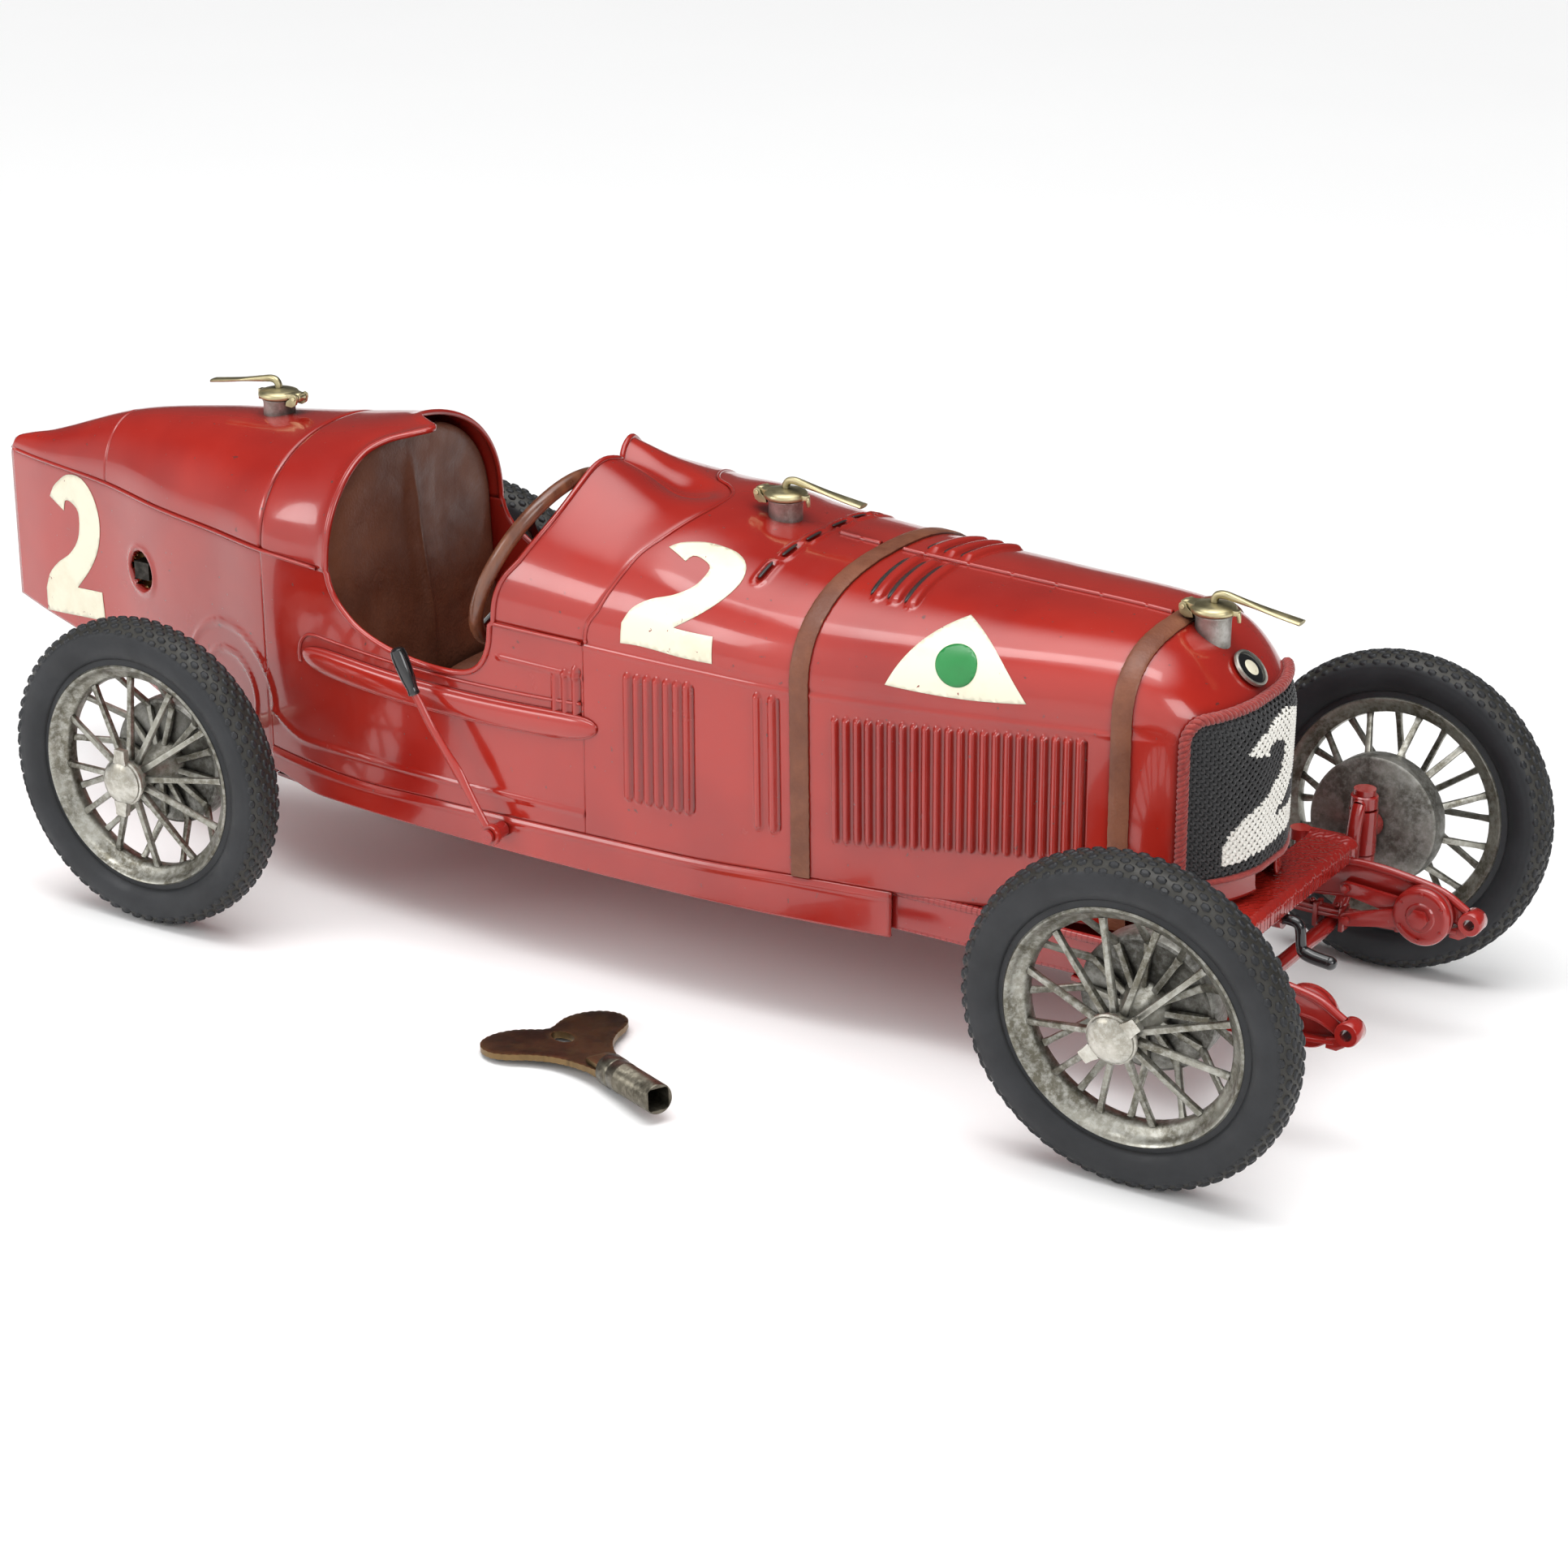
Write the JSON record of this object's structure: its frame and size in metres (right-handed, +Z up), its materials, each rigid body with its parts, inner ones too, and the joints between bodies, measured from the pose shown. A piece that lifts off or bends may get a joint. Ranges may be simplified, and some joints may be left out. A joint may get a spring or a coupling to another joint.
{
  "type": "clockwork toy racing car",
  "caption": "Clockwork tinplate racing car with spoked wheels, two-seat cockpit, louvred bonnet and a loose winding key.",
  "frame": {"origin": "on the ground at mid-length on the centreline", "axes": "+X to the nose, +Y to the car's left, +Z up"},
  "size_m": [0.526, 0.2362, 0.153],
  "materials": {
    "red_enamel": "glossy red enamel on tinplate, chipped and darkened at the edges",
    "black_enamel": "glossy black enamel",
    "zinc": "cast grey zinc alloy with patina",
    "leather": "worn brown leather",
    "brass": "dull aged brass",
    "spring_steel": "blued spring steel",
    "tyre": "grey-black rubber with a knobbed tread",
    "wood": "polished brown rim, black spokes"
  },
  "bodies": {
    "chassis": {"tail_deck": "red_enamel", "tail_tub": "red_enamel", "cockpit_shell": "red_enamel", "cowl": "red_enamel", "scuttle": "red_enamel", "bonnet": "red_enamel", "radiator_cowl": "red_enamel", "radiator_screen": "black_enamel", "nose_badge": "zinc", "side_skirts": "red_enamel", "side_mouldings": "red_enamel", "undertray": "red_enamel", "front_rails": "red_enamel", "front_apron": "red_enamel", "front_strap": "leather", "rear_strap": "leather", "front_axle_beam": "red_enamel", "kingpins": "zinc", "leaf_springs": "red_enamel", "shock_absorbers": "red_enamel", "crank_bush": "red_enamel", "seat_base": "black_enamel", "seat_cushion": "leather", "seat_back": "leather", "bulkhead": "black_enamel", "column_tube": "black_enamel", "filler_necks": "zinc", "motor_pillars": "zinc", "mainspring": "spring_steel", "lever_pivot": "zinc", "motor_plates": "brass"},
    "rear_axle": {"rear_axle_shaft": "zinc", "axle_pinion": "brass", "rear_wheel_right": "zinc", "rear_wheel_left": "zinc", "rear_tyre_right": "tyre", "rear_tyre_left": "tyre", "rear_hub_nuts": "zinc"},
    "intermediate": {"intermediate_shaft": "brass"},
    "great_wheel": {"great_wheel": "brass"},
    "click": {"ratchet_click": "zinc"},
    "arbor": {"winding_arbor": "zinc"},
    "knuckle_r": {"knuckle_right": "red_enamel"},
    "knuckle_l": {"knuckle_left": "red_enamel"},
    "wheel_fr": {"front_wheel_right": "zinc", "front_tyre_right": "tyre", "front_hub_nut_right": "zinc"},
    "wheel_fl": {"front_wheel_left": "zinc", "front_tyre_left": "tyre", "front_hub_nut_left": "zinc"},
    "tie": {"track_rod": "red_enamel"},
    "steering": {"steering_wheel": "wood", "steering_shaft": "black_enamel"},
    "hand_lever": {"brake_lever": "black_enamel", "brake_grip": "black_enamel"},
    "rear_lid": {"rear_filler_lid": "brass"},
    "scuttle_lid": {"scuttle_filler_lid": "brass"},
    "radiator_lid": {"radiator_filler_lid": "brass"},
    "crank": {"starting_crank": "black_enamel"},
    "key": {"winding_key": "brass"}
  },
  "joints": [
    {"name": "rear_axle_spin", "type": "hinge", "parent": "chassis", "child": "rear_axle", "pos_m": [-0.131, 0, 0.05], "axis": [0, 1, 0], "continuous": true},
    {"name": "intermediate_spin", "type": "hinge", "parent": "chassis", "child": "intermediate", "pos_m": [-0.15223, 0, 0.07286], "axis": [0, 1, 0], "continuous": true},
    {"name": "great_wheel_spin", "type": "hinge", "parent": "chassis", "child": "great_wheel", "pos_m": [-0.1885, 0, 0.0872], "axis": [0, 1, 0], "continuous": true},
    {"name": "click_lift", "type": "hinge", "parent": "great_wheel", "child": "click", "pos_m": [-0.1715, 0, 0.0872], "axis": [0, 1, 0], "range_deg": [0, 10], "stiffness_Nm_per_rad": 0.0005, "springref_deg": -11.46},
    {"name": "arbor_wind", "type": "hinge", "parent": "chassis", "child": "arbor", "pos_m": [-0.1885, 0, 0.0872], "axis": [0, 1, 0], "continuous": true},
    {"name": "steering_wheel_turn", "type": "hinge", "parent": "chassis", "child": "steering", "pos_m": [-0.0264, -0.022, 0.12], "axis": [0.8976, 0, -0.4407], "range_deg": [-50, 50]},
    {"name": "knuckle_right_steer", "type": "hinge", "parent": "chassis", "child": "knuckle_r", "pos_m": [0.212, -0.065, 0.052], "axis": [0, 0, 1], "range_deg": [-20, 20]},
    {"name": "knuckle_left_steer", "type": "hinge", "parent": "chassis", "child": "knuckle_l", "pos_m": [0.212, 0.065, 0.052], "axis": [0, 0, 1], "range_deg": [-20, 20]},
    {"name": "front_wheel_right_spin", "type": "hinge", "parent": "knuckle_r", "child": "wheel_fr", "pos_m": [0.212, -0.091, 0.04977], "axis": [0, -0.9951, -0.0993], "continuous": true},
    {"name": "front_wheel_left_spin", "type": "hinge", "parent": "knuckle_l", "child": "wheel_fl", "pos_m": [0.212, 0.091, 0.04977], "axis": [0, 0.9951, -0.0993], "continuous": true},
    {"name": "track_rod_swing", "type": "hinge", "parent": "knuckle_r", "child": "tie", "pos_m": [0.192, -0.065, 0.0284], "axis": [0, 0, 1], "range_deg": [-20, 20]},
    {"name": "brake_lever_pull", "type": "hinge", "parent": "chassis", "child": "hand_lever", "pos_m": [-0.021, -0.06, 0.042], "axis": [0, 1, 0], "range_deg": [-14, 22]},
    {"name": "rear_lid_open", "type": "hinge", "parent": "chassis", "child": "rear_lid", "pos_m": [-0.1376, 0, 0.1488], "axis": [0, 1, 0], "range_deg": [0, 100]},
    {"name": "scuttle_lid_open", "type": "hinge", "parent": "chassis", "child": "scuttle_lid", "pos_m": [0.0388, 0, 0.1465], "axis": [0, -1, 0], "range_deg": [0, 100]},
    {"name": "radiator_lid_open", "type": "hinge", "parent": "chassis", "child": "radiator_lid", "pos_m": [0.1806, 0, 0.1362], "axis": [0, -1, 0], "range_deg": [0, 100]},
    {"name": "crank_turn", "type": "hinge", "parent": "chassis", "child": "crank", "pos_m": [0.212, 0, 0.0472], "axis": [1, 0, 0], "continuous": true},
    {"name": "key_lift", "type": "slide", "parent": "chassis", "child": "key", "axis": [0, 0, 1], "range_m": [0, 0.06]}
  ],
  "couplings": [
    {"joint": "intermediate_spin", "follows": "rear_axle_spin", "ratio": -0.33333},
    {"joint": "great_wheel_spin", "follows": "rear_axle_spin", "ratio": 0.16667},
    {"joint": "knuckle_right_steer", "follows": "steering_wheel_turn", "ratio": -0.4},
    {"joint": "knuckle_left_steer", "follows": "steering_wheel_turn", "ratio": -0.4},
    {"joint": "track_rod_swing", "follows": "steering_wheel_turn", "ratio": 0.4}
  ]
}
